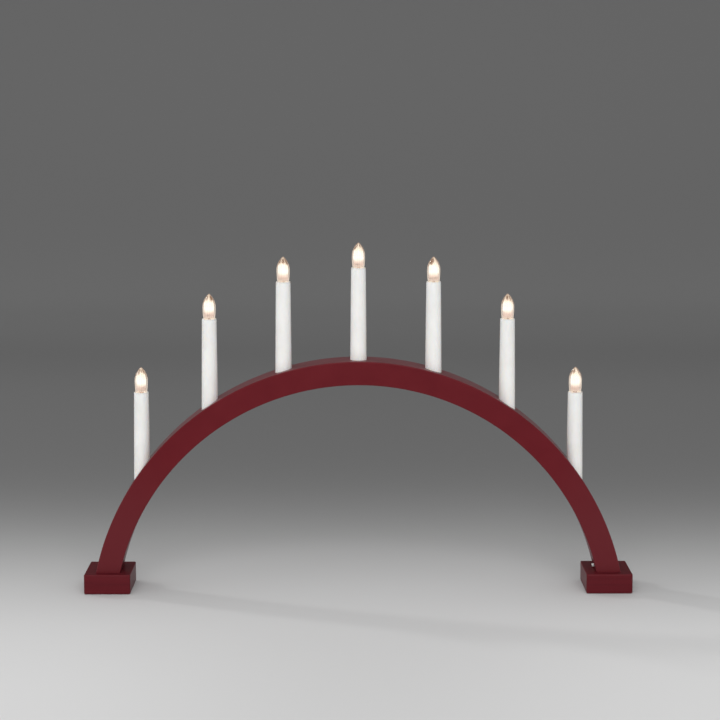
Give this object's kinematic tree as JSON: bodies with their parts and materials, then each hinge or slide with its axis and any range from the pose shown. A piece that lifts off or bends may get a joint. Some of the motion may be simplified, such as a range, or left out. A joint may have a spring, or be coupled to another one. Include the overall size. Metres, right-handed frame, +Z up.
{
  "type": "candle arch",
  "caption": "Arched wooden window light on two block feet: upright tapered tubes carry pointed candle lamps that screw into holders and are wired in series through a groove under the arch.",
  "frame": {"origin": "on the floor, midway between the feet and midway through the depth", "axes": "+X along the arch's span to the right, +Y to the back, +Z up"},
  "size_m": [0.5812, 0.05, 0.3719],
  "materials": {
    "red_lacquered_wood": "satin dark red paint",
    "zinc_plated_steel": "zinc plated",
    "white_moulding": "moulded",
    "ivory_tube": "smooth, candle white",
    "plated_brass": "nickel plated",
    "wire_insulation": "flexible insulation",
    "lamp_glass": "clear, ribbed",
    "lamp_filament": "stem, leads and glowing filament"
  },
  "bodies": {
    "frame": {"arch": "red_lacquered_wood", "left_foot": "red_lacquered_wood", "right_foot": "red_lacquered_wood", "groove_cover": "red_lacquered_wood", "foot_screws": "zinc_plated_steel", "cord_inlet_bush": "white_moulding", "lamp_holders": "white_moulding", "screw_shells": "plated_brass", "link_wires": "wire_insulation", "supply_wire": "wire_insulation", "return_wire": "wire_insulation", "candle_tube_1": "ivory_tube", "candle_tube_2": "ivory_tube", "candle_tube_3": "ivory_tube", "candle_tube_4": "ivory_tube", "candle_tube_5": "ivory_tube", "candle_tube_6": "ivory_tube", "candle_tube_7": "ivory_tube"},
    "contact_1": {"contact_leaf_1": "plated_brass"},
    "bulb_1": {"bulb_glass_1": "lamp_glass", "bulb_cap_1": "plated_brass", "bulb_filament_1": "lamp_filament"},
    "contact_2": {"contact_leaf_2": "plated_brass"},
    "bulb_2": {"bulb_glass_2": "lamp_glass", "bulb_cap_2": "plated_brass", "bulb_filament_2": "lamp_filament"},
    "contact_3": {"contact_leaf_3": "plated_brass"},
    "bulb_3": {"bulb_glass_3": "lamp_glass", "bulb_cap_3": "plated_brass", "bulb_filament_3": "lamp_filament"},
    "contact_4": {"contact_leaf_4": "plated_brass"},
    "bulb_4": {"bulb_glass_4": "lamp_glass", "bulb_cap_4": "plated_brass", "bulb_filament_4": "lamp_filament"},
    "contact_5": {"contact_leaf_5": "plated_brass"},
    "bulb_5": {"bulb_glass_5": "lamp_glass", "bulb_cap_5": "plated_brass", "bulb_filament_5": "lamp_filament"},
    "contact_6": {"contact_leaf_6": "plated_brass"},
    "bulb_6": {"bulb_glass_6": "lamp_glass", "bulb_cap_6": "plated_brass", "bulb_filament_6": "lamp_filament"},
    "contact_7": {"contact_leaf_7": "plated_brass"},
    "bulb_7": {"bulb_glass_7": "lamp_glass", "bulb_cap_7": "plated_brass", "bulb_filament_7": "lamp_filament"}
  },
  "joints": [
    {"name": "bulb_1_rise", "type": "slide", "parent": "frame", "child": "contact_1", "axis": [0, 0, 1], "range_m": [0, 0.00182]},
    {"name": "bulb_1_turn", "type": "hinge", "parent": "contact_1", "child": "bulb_1", "pos_m": [-0.23057, 0, 0.2], "axis": [0, 0, 1], "range_deg": [0, 360]},
    {"name": "bulb_2_rise", "type": "slide", "parent": "frame", "child": "contact_2", "axis": [0, 0, 1], "range_m": [0, 0.00182]},
    {"name": "bulb_2_turn", "type": "hinge", "parent": "contact_2", "child": "bulb_2", "pos_m": [-0.15792, 0, 0.2], "axis": [0, 0, 1], "range_deg": [0, 360]},
    {"name": "bulb_3_rise", "type": "slide", "parent": "frame", "child": "contact_3", "axis": [0, 0, 1], "range_m": [0, 0.00182]},
    {"name": "bulb_3_turn", "type": "hinge", "parent": "contact_3", "child": "bulb_3", "pos_m": [-0.07951, 0, 0.2], "axis": [0, 0, 1], "range_deg": [0, 360]},
    {"name": "bulb_4_rise", "type": "slide", "parent": "frame", "child": "contact_4", "axis": [0, 0, 1], "range_m": [0, 0.00182]},
    {"name": "bulb_4_turn", "type": "hinge", "parent": "contact_4", "child": "bulb_4", "pos_m": [0, 0, 0.2], "axis": [0, 0, 1], "range_deg": [0, 360]},
    {"name": "bulb_5_rise", "type": "slide", "parent": "frame", "child": "contact_5", "axis": [0, 0, 1], "range_m": [0, 0.00182]},
    {"name": "bulb_5_turn", "type": "hinge", "parent": "contact_5", "child": "bulb_5", "pos_m": [0.07951, 0, 0.2], "axis": [0, 0, 1], "range_deg": [0, 360]},
    {"name": "bulb_6_rise", "type": "slide", "parent": "frame", "child": "contact_6", "axis": [0, 0, 1], "range_m": [0, 0.00182]},
    {"name": "bulb_6_turn", "type": "hinge", "parent": "contact_6", "child": "bulb_6", "pos_m": [0.15792, 0, 0.2], "axis": [0, 0, 1], "range_deg": [0, 360]},
    {"name": "bulb_7_rise", "type": "slide", "parent": "frame", "child": "contact_7", "axis": [0, 0, 1], "range_m": [0, 0.00182]},
    {"name": "bulb_7_turn", "type": "hinge", "parent": "contact_7", "child": "bulb_7", "pos_m": [0.23057, 0, 0.2], "axis": [0, 0, 1], "range_deg": [0, 360]}
  ],
  "couplings": [
    {"joint": "bulb_1_rise", "follows": "bulb_1_turn", "m_per_rad": 0.00028871},
    {"joint": "bulb_2_rise", "follows": "bulb_2_turn", "m_per_rad": 0.00028871},
    {"joint": "bulb_3_rise", "follows": "bulb_3_turn", "m_per_rad": 0.00028871},
    {"joint": "bulb_4_rise", "follows": "bulb_4_turn", "m_per_rad": 0.00028871},
    {"joint": "bulb_5_rise", "follows": "bulb_5_turn", "m_per_rad": 0.00028871},
    {"joint": "bulb_6_rise", "follows": "bulb_6_turn", "m_per_rad": 0.00028871},
    {"joint": "bulb_7_rise", "follows": "bulb_7_turn", "m_per_rad": 0.00028871}
  ]
}
